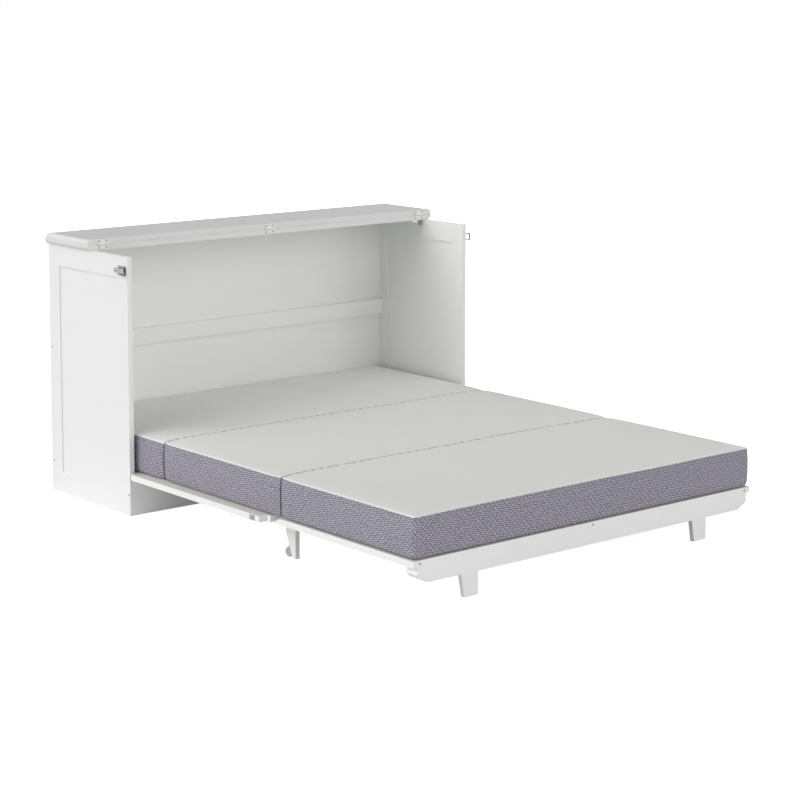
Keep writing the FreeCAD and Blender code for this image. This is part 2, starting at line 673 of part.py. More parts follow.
def leg_slope(up):
    """Where the tapered edge of a middle leg is at a height."""
    return (f"-leg_edge + middle_leg_base + (leg_edge - middle_leg_base - knee_edge)"
            f" * ({up}) / middle_leg_knee")


fork_blank = profile_board(
    "fork_plates", "YZ_Plane", "middle_leg_offset - leg_thickness / 2",
    [(leg_slope("fork_base"), "fork_base"), ("-wheel_place + 2 * axle_radius", "fork_base"),
     ("-wheel_place + 2 * axle_radius", "wheel_height + 2 * axle_radius"),
     (leg_slope("fork_height"), "fork_height")], "leg_thickness")
wheel_slot = board("wheel_slot",
                   ("middle_leg_offset - wheel_width / 2 - wheel_side_play",
                    "-wheel_place - wheel_radius - wheel_play", "0"),
                   ("middle_leg_offset + wheel_width / 2 + wheel_side_play",
                    "-wheel_place + 3 * axle_radius",
                    "wheel_height + wheel_radius + wheel_play"))
axle = rod("wheel_axle", "axle_radius",
           ("middle_leg_offset - leg_thickness / 2", "-wheel_place", "wheel_height"),
           "leg_thickness", "x")
fork = together("fork", [without("fork_slotted", fork_blank, [wheel_slot]), axle])
finish("wheel_forks", together("fork_group", [fork, mirrored("fork_left", fork)]))

bore = "axle_radius + running_play"
wheel_profile = [("0", bore), ("0", "wheel_radius - tyre_bevel"),
                 ("tyre_bevel", "wheel_radius"), ("wheel_width - tyre_bevel", "wheel_radius"),
                 ("wheel_width", "wheel_radius - tyre_bevel"), ("wheel_width", bore)]
for side, place in (("left", "-middle_leg_offset"), ("right", "middle_leg_offset")):
    finish(f"wheel_{side}", revolved(f"wheel_{side}_turned", wheel_profile,
                                     (f"{place} - wheel_width / 2", "-wheel_place",
                                      "wheel_height"), "x"))

leg_places = (("left", "-leg_place"), ("right", "leg_place"))
for side, place in leg_places:
    finish(f"foot_leg_{side}", profile_board(
        f"foot_leg_{side[0]}", "XZ_Plane", "leg_face",
        [(f"{place} - leg_foot_width / 2", "0"), (f"{place} + leg_foot_width / 2", "0"),
         (f"{place} + leg_foot_width / 2", "deck_base - leg_drop"),
         (f"{place} - leg_foot_width / 2 - leg_taper", "deck_base - leg_drop")],
        "leg_thickness", backwards=True))
    finish(f"leg_hinge_{side}_leaf", hinge_row(
        f"leg_leaf_{side}", ((side, place),), "-leg_pin_place", "leg_pin_height",
        ("-leg_back", "leg_pin_height - strap_length"),
        ("-leg_back + leaf_thickness", "leg_pin_height"), (1,), width="leg_hinge_width"))
finish("leg_hinge_fixed_leaves", hinge_row(
    "leg_fixed_leaves", leg_places, "-leg_pin_place", "leg_pin_height",
    ("-leg_pin_place", "deck_base - leaf_thickness"),
    ("-leg_pin_place + strap_length", "deck_base"), (0, 2), pin=True,
    width="leg_hinge_width"))
finish("leg_blocks", together("leg_block_group", [
    board(f"leg_block_{side}",
          (f"{place} - leg_foot_width / 2", "-foot_end + rail_thickness", "deck_base"),
          (f"{place} + leg_foot_width / 2", "-leg_pin_place + 1.5 * strap_length",
           "deck_height - board_thickness")) for side, place in leg_places]))

# ---- toggle latches: base with ears, lever, wire loop, and the keeper on the front ----------

def latch_rod(name, radius, out, behind, length):
    """An upright pin through the latch, out from the right panel."""
    return rod(name, radius, (f"half_width + {out}", behind,
                              f"latch_height - ({length}) / 2"), length, "z")


plate_front = "latch_pivot - latch_setback"
latch_base_plate = board("latch_plate_base",
                         ("half_width", plate_front, "latch_height - latch_width / 2"),
                         ("half_width + latch_plate", f"{plate_front} + latch_length",
                          "latch_height + latch_width / 2"))
ears = [board(f"latch_ear_{side}", ("half_width", "latch_pivot - ear_width / 2", low),
              ("half_width + ear_height", "latch_pivot + ear_width / 2", f"{low} + latch_plate"))
        for side, low in (("low", "latch_height - latch_width / 2"),
                          ("high", "latch_height + latch_width / 2 - latch_plate"))]
lever_pin = latch_rod("lever_pin", "bail_wire", "latch_stand", "latch_pivot", "latch_width")
latch_base = together("latch_base", [latch_base_plate, *ears, lever_pin])
finish("latch_base_right", latch_base)
finish("latch_base_left", mirrored("latch_base_l", latch_base))

lever_plate = profile_board(
    "lever_plate", "XY_Plane", "latch_height - lever_width / 2",
    [("half_width + latch_stand - lever_rim", "latch_pivot - lever_rim"),
     ("half_width + latch_stand + lever_rim", "latch_pivot - lever_rim"),
     ("half_width + bail_stand + lever_rim", "latch_pivot + bail_offset - lever_rim"),
     ("half_width + bail_stand + lever_rim", "latch_pivot + bail_offset + lever_rim"),
     ("half_width + bail_stand", "latch_pivot + lever_reach"),
     ("half_width + bail_stand - lever_rim", "latch_pivot + lever_reach"),
     ("half_width + latch_stand - lever_rim", "latch_pivot + lever_rim")], "lever_width")
lever_bores = [latch_rod("lever_bore", "bail_wire + running_play", "latch_stand",
                         "latch_pivot", "latch_width"),
               latch_rod("bail_bore", "bail_wire + running_play", "bail_stand",
                         "latch_pivot + bail_offset", "latch_width")]
lever = without("lever", lever_plate, lever_bores)
finish("latch_lever_right", lever)
finish("latch_lever_left", mirrored("latch_lever_l", lever))

bail_end = "latch_pivot + bail_offset - bail_reach"
bail_out = "bail_width / 2 + bail_strip / 2"
bail_in = "bail_width / 2 - bail_strip / 2"
bail_back = "latch_pivot + bail_offset + bail_strip / 2"
bail_loop = profile_board(
    "bail_loop", "YZ_Plane", "half_width + bail_stand - bail_strip / 2",
    [(f"{bail_end} - bail_strip / 2", f"latch_height - ({bail_out})"),
     (bail_back, f"latch_height - ({bail_out})"), (bail_back, f"latch_height - ({bail_in})"),
     (f"{bail_end} + bail_strip / 2", f"latch_height - ({bail_in})"),
     (f"{bail_end} + bail_strip / 2", f"latch_height + {bail_in}"),
     (bail_back, f"latch_height + {bail_in}"), (bail_back, f"latch_height + {bail_out}"),
     (f"{bail_end} - bail_strip / 2", f"latch_height + {bail_out}")], "bail_strip")
bail_pin = latch_rod("bail_pin", "bail_wire", "bail_stand", "latch_pivot + bail_offset",
                     "bail_width")
bail = together("bail", [bail_loop, bail_pin])
finish("latch_bail_right", bail)
finish("latch_bail_left", mirrored("latch_bail_l", bail))

hook_low = "deck_height - hook_height - hook_setback"
keeper = together("keeper", [
    board("keeper_plate",
          ("half_width", "-keeper_place - keeper_length / 2", "deck_base + latch_plate"),
          ("half_width + latch_plate", "-keeper_place + keeper_length / 2",
           "deck_height - latch_plate")),
    profile_board("keeper_hook", "XZ_Plane", "keeper_place + hook_width / 2",
                  [("half_width", hook_low), ("half_width + hook_reach", hook_low),
                   ("half_width + hook_reach", f"{hook_low} + hook_height"),
                   ("half_width + hook_reach - latch_plate", f"{hook_low} + hook_height"),
                   ("half_width + hook_reach - latch_plate", f"{hook_low} + latch_plate"),
                   ("half_width", f"{hook_low} + latch_plate")],
                  "hook_width", backwards=True)])
finish("latch_keepers", together("keeper_group", [keeper, mirrored("keeper_left", keeper)]))

# ---- bolt caps and screw heads ---------------------------------------------------------

def bolt_cap(name, start, along):
    """A round cap over a bolt, bevelled, on the wood's face."""
    return revolved(name, [("0", "0"), ("0", "bolt_head"),
                           ("bolt_rise", "bolt_head * 0.7"), ("bolt_rise", "0")], start, along)


side_bolts = []
for place, behind, up in SIDE_BOLTS:
    side_bolts += [bolt_cap(f"bolt_{place}_right", ("half_width", behind, up), "x"),
                   bolt_cap(f"bolt_{place}_left", ("-half_width", behind, up), "-x")]
finish("side_bolts", together("side_bolt_group", side_bolts))
finish("foot_bolts", together("foot_bolt_group", [
    bolt_cap(f"foot_bolt_{place}", (across, "-foot_end", "deck_base + deck_thickness / 2"), "-y")
    for place, across in FOOT_BOLTS]))
finish("deck_screws", together("deck_screw_group", [
    rod(f"deck_screw_{place}", "screw_head",
        (across, behind, "deck_height"), "screw_rise", "z")
    for place, across, behind in DECK_SCREWS]))

# ---- mattress: three foam sections with a crown, drawn in towards their seams ---------------

def foam_outline(half, low, high, crown, corner, behind):
    """One cross-section of foam: flat below, rounded at the sides, crowned on top."""
    bow = corner / 3
    knee = low + corner
    shoulder = high - crown - corner

    def spot(across, up):
        return FreeCAD.Vector(across, behind, up)

    def curve(first, middle, last):
        return Part.Arc(first, middle, last).toShape()

    turn = corner * 0.2929
    right = [
        curve(spot(half - corner, low), spot(half - turn, low + turn), spot(half, knee)),
        curve(spot(half, knee), spot(half + bow, (knee + shoulder) / 2), spot(half, shoulder)),
        curve(spot(half, shoulder), spot(half - turn, shoulder + corner - turn),
              spot(half - corner, shoulder + corner))]
    top = curve(spot(half - corner, shoulder + corner), spot(0, high),
                spot(corner - half, shoulder + corner))
    left = [
        curve(spot(corner - half, shoulder + corner),
              spot(turn - half, shoulder + corner - turn), spot(-half, shoulder)),
        curve(spot(-half, shoulder), spot(-half - bow, (knee + shoulder) / 2),
              spot(-half, knee)),
        curve(spot(-half, knee), spot(turn - half, low + turn), spot(corner - half, low))]
    base = Part.LineSegment(spot(corner - half, low), spot(half - corner, low)).toShape()
    return Part.Wire([*right, top, *left, base])


def foam_section(label, head_end, foot_end):
    """A section between two places behind the front, softened and drawn in at both ends."""
    half = size("mattress_width") / 2 - size("foam_corner") / 3
    low = size("deck_height") + size("mattress_play")
    high = size("deck_height") + size("mattress_height")
    crown, corner, draw = size("mattress_crown"), size("foam_corner"), size("seam_draw")
    stations = [(foot_end, draw + corner / 2, corner / 2, 1.0),
                (foot_end + corner / 3, draw, corner / 6, 0.7),
                (foot_end + corner, draw / 2, 0.0, 0.45),
                (foot_end + 3 * corner, 0.0, 0.0, 0.15),
                (head_end - 3 * corner, 0.0, 0.0, 0.15),
                (head_end - corner, draw / 2, 0.0, 0.45),
                (head_end - corner / 3, draw, corner / 6, 0.7),
                (head_end, draw + corner / 2, corner / 2, 1.0)]
    rings = [foam_outline(half - inward, low, high - drop - fall * crown / 2,
                          crown * (1 - fall / 2), corner, behind)
             for behind, inward, drop, fall in stations]
    foam = Part.makeLoft(rings, True, True)
    item = doc.addObject("Part::Feature", label + "_foam")
    item.Shape = foam
    return item


foam_head = (size("cabinet_depth") - size("back_inset") - size("back_thickness")
             - size("mattress_play"))
foam_play = size("mattress_play") / 2
foams = {}
for place in ("head", "middle", "foot"):
    foam_foot = foam_head - size(f"{place}_section")
    foams[place] = foam_section(f"mattress_{place}", foam_head - foam_play,
                                foam_foot + foam_play)
    bind(foams[place], Placement_Base_y="front_shift")
    foam_head = foam_foot
finish("mattress_head", foams["head"])
finish("mattress_foot", foams["foot"])

# dents that the fold's hinges press into the foam's underside
dents = [board("barrel_dent",
               ("-foot_half", "-fold_place - pin_radius - dent_play", "deck_height"),
               ("foot_half", "-fold_place + pin_radius + dent_play",
                "fold_height + pin_radius + mattress_play")),
         board("leaf_dent",
               ("-foot_half", "-fold_place - strap_length - dent_play", "deck_height"),
               ("foot_half", "-fold_place + strap_length + dent_play",
                "deck_height + leaf_thickness + mattress_play"))]
finish("mattress_middle", without("middle_dented", foams["middle"], dents))

# ---- check and export -------------------------------------------------------------------

doc.recompute()
for item in doc.Objects:
    if "Invalid" in item.State or "Error" in item.State:
        raise SystemExit(f"{item.Name} failed: {item.State}")
for label, item in finished.items():
    if item.Shape.isNull() or not item.Shape.isValid() or not item.Shape.Solids:
        raise SystemExit(f"{label} has no valid solid")

os.makedirs("parts", exist_ok=True)
for label, item in finished.items():
    item.Shape.exportStep(f"parts/{label}.step")
print(len(finished), "sub-parts written")
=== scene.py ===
import math

import bpy
import numpy as np
from mathutils import Euler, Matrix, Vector


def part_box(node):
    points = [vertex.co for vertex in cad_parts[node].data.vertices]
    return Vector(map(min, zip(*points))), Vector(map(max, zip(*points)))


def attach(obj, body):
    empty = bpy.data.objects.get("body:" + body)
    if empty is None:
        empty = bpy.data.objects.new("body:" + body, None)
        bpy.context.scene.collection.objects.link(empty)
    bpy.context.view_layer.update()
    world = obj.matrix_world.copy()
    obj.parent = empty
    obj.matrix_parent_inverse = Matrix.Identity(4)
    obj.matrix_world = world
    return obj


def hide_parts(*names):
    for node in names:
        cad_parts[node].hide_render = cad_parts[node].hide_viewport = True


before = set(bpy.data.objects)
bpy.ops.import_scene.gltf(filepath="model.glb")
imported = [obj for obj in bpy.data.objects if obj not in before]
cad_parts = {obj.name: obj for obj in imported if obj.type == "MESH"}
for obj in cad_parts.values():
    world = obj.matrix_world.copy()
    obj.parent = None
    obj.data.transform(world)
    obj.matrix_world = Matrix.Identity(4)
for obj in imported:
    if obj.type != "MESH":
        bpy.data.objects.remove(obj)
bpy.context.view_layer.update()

# ---- the view -------------------------------------------------------------------------------
# The bed is seen from its foot end on the left, from a little above a standing eye, through a
# long lens. It looks slightly down, and its picture is shifted down as well, which keeps the
# upright edges nearly parallel.

EYE = (-4.9249, -5.9021, 1.932)
TURN_TO_LEFT = math.radians(-39.338)
LOOK_DOWN = math.radians(-7.073)
LENS_MM = 97.63
FILM_MM = 36.0
SIDE_SHIFT = 0.0345
DROP = -0.2

lens = bpy.data.cameras.new("view_lens")
lens.lens = LENS_MM
lens.sensor_width = FILM_MM
lens.shift_x = SIDE_SHIFT
lens.shift_y = DROP
lens.clip_end = 60
camera = bpy.data.objects.new("view", lens)
camera.location = EYE
camera.rotation_euler = Euler((math.pi / 2 + LOOK_DOWN, 0, TURN_TO_LEFT))
bpy.context.collection.objects.link(camera)
bpy.context.scene.camera = camera
bpy.context.scene.view_settings.view_transform = "Standard"

# ---- studio light ---------------------------------------------------------------------------
# Large soft lamps stand round the bed: two on the left make its left side the brightest, one
# hangs behind it, and weaker ones fill from the foot end. Past the bed it is plain white.

LAMP_SPREAD = math.radians(55)
ROOM_LIGHT = 0.01
SOFT_LAMPS = (("left_low", (-1.0, 0.0, 0.15), 0.63), ("left_high", (-0.75, 0.0, 0.66), 1.05),
              ("back_high", (-0.6, 0.5, 0.6), 1.02), ("foot_low", (0.0, -1.0, 0.15), 0.93),
              ("foot_high", (0.0, -0.75, 0.66), 0.28), ("foot_right", (0.7, -0.7, 0.2), 0.76),
              ("overhead", (0.0, 0.0, 1.0), 0.19))

for name, where, strength in SOFT_LAMPS:
    lamp = bpy.data.lights.new(name, "SUN")
    lamp.energy = strength
    lamp.angle = LAMP_SPREAD
    lamp_stand = bpy.data.objects.new(name, lamp)
    lamp_stand.rotation_euler = Vector(where).to_track_quat("Z", "Y").to_euler()
    bpy.context.collection.objects.link(lamp_stand)

room = bpy.data.worlds.new("white_room")
bpy.context.scene.world = room
room.use_nodes = True
room_nodes, room_links = room.node_tree.nodes, room.node_tree.links
room_nodes.clear()
room_out = room_nodes.new("ShaderNodeOutputWorld")
room_mix = room_nodes.new("ShaderNodeMixShader")
room_light = room_nodes.new("ShaderNodeBackground")
room_light.inputs["Strength"].default_value = ROOM_LIGHT
room_seen = room_nodes.new("ShaderNodeBackground")
room_path = room_nodes.new("ShaderNodeLightPath")
for tone in (room_light, room_seen):
    tone.inputs["Color"].default_value = (1, 1, 1, 1)
seen = room_nodes.new("ShaderNodeMath")
seen.operation = "MAXIMUM"
room_links.new(room_path.outputs["Is Camera Ray"], seen.inputs[0])
room_links.new(room_path.outputs["Is Glossy Ray"], seen.inputs[1])
room_links.new(seen.outputs[0], room_mix.inputs[0])
room_links.new(room_light.outputs[0], room_mix.inputs[1])
room_links.new(room_seen.outputs[0], room_mix.inputs[2])
room_links.new(room_mix.outputs[0], room_out.inputs[0])

# ---- the floor ------------------------------------------------------------------------------
# A white seamless paper lies under the bed. It is so brightly lit that it looks white to the
# camera, apart from a breath of shadow where the bed stands.

FLOOR_HALF = 14.0
FLOOR_BELOW = 0.0005
FLOOR_GLOW = 0.86
FLOOR_CORNERS = ((-1, -1), (1, -1), (1, 1), (-1, 1))


def shader(name):
    """A new material with its surface shader, its nodes and its links."""
    finish = bpy.data.materials.new(name)
    finish.use_nodes = True
    tree = finish.node_tree
    return finish, tree.nodes["Principled BSDF"], tree.nodes, tree.links


paper, paper_skin, paper_nodes, paper_links = shader("seamless_paper")
paper_skin.inputs["Base Color"].default_value = (0.9, 0.9, 0.9, 1)
paper_skin.inputs["Roughness"].default_value = 0.9
paper_skin.inputs["Emission Color"].default_value = (1, 1, 1, 1)
paper_path = paper_nodes.new("ShaderNodeLightPath")
paper_glow = paper_nodes.new("ShaderNodeMath")
paper_glow.operation = "MULTIPLY"
paper_glow.inputs[1].default_value = FLOOR_GLOW
paper_links.new(paper_path.outputs["Is Camera Ray"], paper_glow.inputs[0])
paper_links.new(paper_glow.outputs[0], paper_skin.inputs["Emission Strength"])
paper_mesh = bpy.data.meshes.new("paper")
paper_mesh.from_pydata([(x * FLOOR_HALF, y * FLOOR_HALF, -FLOOR_BELOW)
                        for x, y in FLOOR_CORNERS], [], [(0, 1, 2, 3)])
paper_mesh.materials.append(paper)
floor = bpy.data.objects.new("paper", paper_mesh)
bpy.context.collection.objects.link(floor)

# ---- lacquered boards -----------------------------------------------------------------------
# Side panels, back, lid, front frame and legs are boards sprayed with white satin lacquer. It
# is smooth, with a faint orange peel and the wood's grain just telegraphing through.


def node_group(name, sockets_in, sockets_out):
    """An empty shader group with named inputs and outputs."""
    group = bpy.data.node_groups.new(name, "ShaderNodeTree")
    for label, kind, value in sockets_in:
        socket = group.interface.new_socket(label, in_out="INPUT", socket_type=kind)
        socket.default_value = value
    for label, kind in sockets_out:
        group.interface.new_socket(label, in_out="OUTPUT", socket_type=kind)
    return group, group.nodes.new("NodeGroupInput"), group.nodes.new("NodeGroupOutput")


def number(group, operation, *values):
    """A math node fed by numbers or sockets, as its output socket."""
    node = group.nodes.new("ShaderNodeMath")
    node.operation = operation
    for place, value in enumerate(values):
        if isinstance(value, (int, float)):
            node.inputs[place].default_value = value
        else:
            group.links.new(value, node.inputs[place])
    return node.outputs[0]


def mottle(group, where, scale, stretch=(1, 1, 1), detail=3.0):
    """Soft noise between 0 and 1, stretched along the grain."""
    spot = group.nodes.new("ShaderNodeMapping")
    spot.inputs["Scale"].default_value = stretch
    noise = group.nodes.new("ShaderNodeTexNoise")
    noise.inputs["Scale"].default_value = scale
    noise.inputs["Detail"].default_value = detail
    group.links.new(where, spot.inputs["Vector"])
    group.links.new(spot.outputs[0], noise.inputs["Vector"])
    return noise.outputs["Fac"]


def blend(group, share, first, second):
    """Two colours mixed by a share, as a colour socket."""
    node = group.nodes.new("ShaderNodeMix")
    node.data_type = "RGBA"
    group.links.new(share, node.inputs["Factor"])
    for socket, colour in ((node.inputs["A"], first), (node.inputs["B"], second)):
        if isinstance(colour, tuple):
            socket.default_value = (*colour, 1)
        else:
            group.links.new(colour, socket)
    return node.outputs["Result"]


def shade(group, colour, amount):
    """A colour made darker or lighter by a factor."""
    node = group.nodes.new("ShaderNodeVectorMath")
    node.operation = "SCALE"
    group.links.new(colour, node.inputs[0])
    group.links.new(amount, node.inputs["Scale"])
    return node.outputs[0]


GRAIN_SCALE, GRAIN_STRETCH = 9.0, (0.35, 9, 9)
PEEL_SCALE, PEEL_HEIGHT = 420.0, 0.25
CLOUD_SCALE, CLOUD_TONE, CLOUD_GLOSS = 2.2, 0.02, 0.12
board_grain, grain_in, grain_out = node_group(
    "board_grain",
    [("Color", "NodeSocketColor", (1, 1, 1, 1)), ("Depth", "NodeSocketFloat", 0.02),
     ("Gloss Spread", "NodeSocketFloat", 0.42)],
    [("Color", "NodeSocketColor"), ("Roughness", "NodeSocketFloat"),
     ("Height", "NodeSocketFloat")])
grain_place = board_grain.nodes.new("ShaderNodeTexCoord")
streaks = mottle(board_grain, grain_place.outputs["Object"], GRAIN_SCALE, GRAIN_STRETCH, 5.0)
peel = mottle(board_grain, grain_place.outputs["Object"], PEEL_SCALE)
cloud = mottle(board_grain, grain_place.outputs["Object"], CLOUD_SCALE)
lift = number(board_grain, "MULTIPLY", number(board_grain, "SUBTRACT", streaks, 0.5),
              grain_in.outputs["Depth"])
cloud_swing = number(board_grain, "SUBTRACT", cloud, 0.5)
drift = number(board_grain, "MULTIPLY", cloud_swing, CLOUD_TONE)
level = number(board_grain, "ADD", number(board_grain, "ADD", lift, drift), 1.0)
board_grain.links.new(shade(board_grain, grain_in.outputs["Color"], level),
                      grain_out.inputs["Color"])
board_grain.links.new(
    number(board_grain, "ADD", grain_in.outputs["Gloss Spread"],
           number(board_grain, "MULTIPLY", cloud_swing, CLOUD_GLOSS)),
    grain_out.inputs["Roughness"])
board_grain.links.new(
    number(board_grain, "ADD", number(board_grain, "MULTIPLY", peel, PEEL_HEIGHT),
           number(board_grain, "MULTIPLY", streaks, grain_in.outputs["Depth"])),
    grain_out.inputs["Height"])


def grained(name, colour, depth, gloss_spread, bump_mm, top=None):
    """A board's material; top is the colour of faces that look up, where it differs."""
    looks_up, bump_share = 0.9, 0.35
    finish, skin, nodes, links = shader(name)
    grain = nodes.new("ShaderNodeGroup")
    grain.node_tree = board_grain
    grain.inputs["Depth"].default_value = depth
    grain.inputs["Gloss Spread"].default_value = gloss_spread
    grain.inputs["Color"].default_value = (*colour, 1)
    if top:
        place = nodes.new("ShaderNodeTexCoord")
        split = nodes.new("ShaderNodeSeparateXYZ")
        links.new(place.outputs["Normal"], split.inputs[0])
        upward = number(finish.node_tree, "GREATER_THAN", split.outputs["Z"], looks_up)
        links.new(blend(finish.node_tree, upward, colour, top), grain.inputs["Color"])
    bump = nodes.new("ShaderNodeBump")
    bump.inputs["Strength"].default_value = bump_share
    bump.inputs["Distance"].default_value = bump_mm / 1000
    links.new(grain.outputs["Color"], skin.inputs["Base Color"])
    links.new(grain.outputs["Roughness"], skin.inputs["Roughness"])
    links.new(grain.outputs["Height"], bump.inputs["Height"])
    links.new(bump.outputs[0], skin.inputs["Normal"])
    return finish


def wear(finish, *names):
    """Gives pieces of the frame a finish."""
    for name in names:
        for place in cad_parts[name].material_slots:
            place.material = finish


WHITE_LACQUER = (0.855, 0.862, 0.852)
# The platform's apron, legs and fields take a lighter copy of the same white lacquer: painted
# light.
PLATFORM_WHITE_PAINTED_LIGHT = (0.895, 0.90, 0.89)
wear(grained("white_lacquer", WHITE_LACQUER, 0.03, 0.42, 0.05),
     "left_side_frame", "right_side_frame", "left_side_field", "right_side_field",
     "back_panel", "back_cross_rail", "kickboard", "lid_stop")
wear(grained("platform_white_painted_light", PLATFORM_WHITE_PAINTED_LIGHT, 0.03, 0.42, 0.05),
     "foot_apron", "apron_returns", "middle_leg_left", "middle_leg_right", "foot_leg_left",
     "foot_leg_right", "front_fields")

# ---- lid ------------------------------------------------------------------------------------
# Two boards with rounded ends, lacquered over an open grain, that lie folded on each other.
# The inner face of the front one, which looks up while the bed is open, is a greyer undercoat.

LID_LACQUER = (0.745, 0.75, 0.74)
UNDERCOAT = (0.56, 0.56, 0.557)
wear(grained("lid_lacquer", LID_LACQUER, 0.10, 0.46, 0.12), "rear_lid")
wear(grained("lid_undercoat", LID_LACQUER, 0.10, 0.5, 0.12, top=UNDERCOAT), "front_lid")

# ---- decks and platform rails ---------------------------------------------------------------
# Plywood with a greyish tan face carries the mattress. The rails' outer edges and undersides
# are lacquered white, because they are the chest's front when it is closed.

TAN_PLY = (0.73, 0.705, 0.655)
PINE = (0.62, 0.52, 0.38)
# The rails' white edges use the lighter copy of the white, as painted light.
wear(grained("lacquered_edge", PLATFORM_WHITE_PAINTED_LIGHT, 0.03, 0.42, 0.05, top=TAN_PLY),
     "front_frame", "foot_rail_left", "foot_rail_right", "foot_end_rail", "foot_hinge_beam")
wear(grained("tan_ply", TAN_PLY, 0.22, 0.6, 0.2),
     "head_deck", "middle_deck_boards", "foot_deck_boards")
wear(grained("bare_pine", PINE, 0.3, 0.65, 0.25),
     "deck_cleats", "deck_bearers", "foot_stringers", "leg_blocks")

# ---- hinges, latches and fixings ------------------------------------------------------------
# Pressed steel, bright zinc plated, with the faint swirl and dulled patches of the plating
# bath. The latches are polished brighter than the hinges, and their wire loops are a darker
# copy of the same chrome: painted shade.


def plated(name, colour, gloss_spread):
    """Zinc or chrome plate on pressed steel."""
    swirl_scale, swirl_gloss, dulled = 160.0, 0.14, 0.9
    finish, skin, nodes, links = shader(name)
    place = nodes.new("ShaderNodeTexCoord")
    swirl = mottle(finish.node_tree, place.outputs["Object"], swirl_scale, (1, 1, 4), 4.0)
    skin.inputs["Metallic"].default_value = 1.0
    spread = number(finish.node_tree, "ADD", gloss_spread,
                    number(finish.node_tree, "MULTIPLY", swirl, swirl_gloss))
    links.new(spread, skin.inputs["Roughness"])
    links.new(blend(finish.node_tree, swirl, tuple(dulled * part for part in colour), colour),
              skin.inputs["Base Color"])
    bump = nodes.new("ShaderNodeBump")
    bump.inputs["Strength"].default_value = 0.2
    bump.inputs["Distance"].default_value = 0.00005
    links.new(swirl, bump.inputs["Height"])
    links.new(bump.outputs[0], skin.inputs["Normal"])
    return finish


wear(plated("zinc_plate", (0.56, 0.56, 0.555), 0.36),
     "lid_hinge_rear_leaves", "lid_hinge_front_leaves", "front_hinge_cabinet_leaves",
     "front_hinge_platform_leaves", "fold_hinge_middle_leaves", "fold_hinge_foot_leaves",
     "leg_hinge_left_leaf", "leg_hinge_right_leaf", "leg_hinge_fixed_leaves", "lid_brackets",
     "wheel_forks", "deck_screws", "latch_keepers")
wear(plated("latch_chrome", (0.62, 0.62, 0.63), 0.12),
     "latch_base_left", "latch_base_right", "latch_lever_left", "latch_lever_right")
# The wire loops: the latch chrome made dark, as painted shade.
wear(plated("latch_chrome_shaded", (0.16, 0.16, 0.165), 0.2),
     "latch_bail_left", "latch_bail_right")

# ---- hinge screws ---------------------------------------------------------------------------
# Each lid hinge is screwed on through both leaves. The countersunk heads, with a round driver
# recess, lie nearly flush and ride on their own leaf.

SCREW_RADIUS = 0.0036
SCREW_SIDES = 20
RECESS_DEPTH = 0.00004
SCREW_PROFILE = ((0.35, RECESS_DEPTH), (0.42, 0.00012), (0.92, 0.00015), (1.0, 0.00002),
                 (1.0, -0.0004))
LEAF_FRONT = 0.0032
SCREW_FROM_EDGE = 0.0145
SCREW_HALF_PITCH = 0.015
HINGE_HALF_LENGTH = 0.023
screw_steel = plated("screw_steel", (0.2, 0.2, 0.2), 0.35)


def screw_head(name, body, where):
    """A countersunk head turned round its own axis, facing the foot of the bed."""
    ring = SCREW_SIDES
    points = [(0, 0, RECESS_DEPTH)]
    for share, rise in SCREW_PROFILE:
        points += [(SCREW_RADIUS * share * math.cos(2 * math.pi * k / ring),
                    SCREW_RADIUS * share * math.sin(2 * math.pi * k / ring), rise)
                   for k in range(ring)]
    faces = [(0, 1 + k, 1 + (k + 1) % ring) for k in range(ring)]
    for row in range(len(SCREW_PROFILE) - 1):
        faces += [(1 + row * ring + k, 1 + (row + 1) * ring + k,
                   1 + (row + 1) * ring + (k + 1) % ring, 1 + row * ring + (k + 1) % ring)
                  for k in range(ring)]
    mesh = bpy.data.meshes.new(name)
    mesh.from_pydata(points, [], faces)
    mesh.materials.append(screw_steel)
    head = bpy.data.objects.new(name, mesh)
    head.location = where
    head.rotation_euler = Vector((0, -1, 0)).to_track_quat("Z", "Y").to_euler()
    bpy.context.collection.objects.link(head)
    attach(head, body)


for leaf, body in (("lid_hinge_rear_leaves", "cabinet"), ("lid_hinge_front_leaves", "lid_front")):
    low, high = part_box(leaf)
    height = high[2] - SCREW_FROM_EDGE if body == "cabinet" else low[2] + SCREW_FROM_EDGE
    for side, middle in (("left", low[0] + HINGE_HALF_LENGTH), ("middle", 0.0),
                         ("right", high[0] - HINGE_HALF_LENGTH)):
        for place, way in (("inner", -1), ("outer", 1)):
            screw_head(f"{leaf}_{side}_screw_{place}", body,
                       (middle + SCREW_HALF_PITCH * way, low[1] + LEAF_FRONT, height))

# ---- caps and wheels ------------------------------------------------------------------------
# Grey plastic caps cover the bolts, and the two small wheels are moulded from light grey
# rubber. Both are matt, with a fine mould texture.


def moulded(name, colour, gloss_spread):
    """Matt moulded plastic or rubber."""
    pit_scale, pit_shade = 900.0, 0.88
    finish, skin, nodes, links = shader(name)
    place = nodes.new("ShaderNodeTexCoord")
    pits = mottle(finish.node_tree, place.outputs["Object"], pit_scale)
    links.new(blend(finish.node_tree, pits, tuple(pit_shade * part for part in colour), colour),
              skin.inputs["Base Color"])
    skin.inputs["Roughness"].default_value = gloss_spread
    bump = nodes.new("ShaderNodeBump")
    bump.inputs["Strength"].default_value = 0.3
    bump.inputs["Distance"].default_value = 0.0001
    links.new(pits, bump.inputs["Height"])
    links.new(bump.outputs[0], skin.inputs["Normal"])
    return finish


wear(moulded("cap_plastic", (0.5, 0.5, 0.5), 0.45), "side_bolts", "foot_bolts")
wear(moulded("wheel_rubber", (0.56, 0.56, 0.565), 0.5), "wheel_left", "wheel_right")
